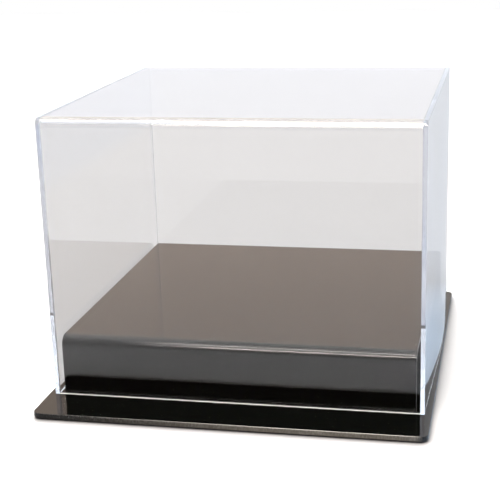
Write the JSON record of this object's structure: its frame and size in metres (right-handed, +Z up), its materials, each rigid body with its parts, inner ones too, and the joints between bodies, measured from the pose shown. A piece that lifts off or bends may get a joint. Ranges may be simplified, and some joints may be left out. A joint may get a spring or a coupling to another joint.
{
  "type": "display case",
  "caption": "Clear five-sided cover that lifts off a black base plate, over a low black riser for a cap or ball.",
  "frame": {"origin": "middle of the base plate's outline, on the surface that the foot pads stand on", "axes": "+X to the case's right, +Y to its back (the ledge is at the front, -Y), +Z up"},
  "size_m": [0.2754, 0.309, 0.2069],
  "materials": {
    "clear_acrylic": "clear, polished",
    "black_acrylic": "high gloss",
    "foot_pad": "matt"
  },
  "bodies": {
    "base": {"base_plate": "black_acrylic", "riser": "black_acrylic", "foot_front_left": "foot_pad", "foot_front_right": "foot_pad", "foot_back_left": "foot_pad", "foot_back_right": "foot_pad"},
    "cover": {"cover_wrap": "clear_acrylic", "cover_left_panel": "clear_acrylic", "cover_right_panel": "clear_acrylic"}
  },
  "joints": [
    {"name": "cover_lift", "type": "slide", "parent": "base", "child": "cover", "axis": [0, 0, 1], "range_m": [0, 0.21]}
  ]
}
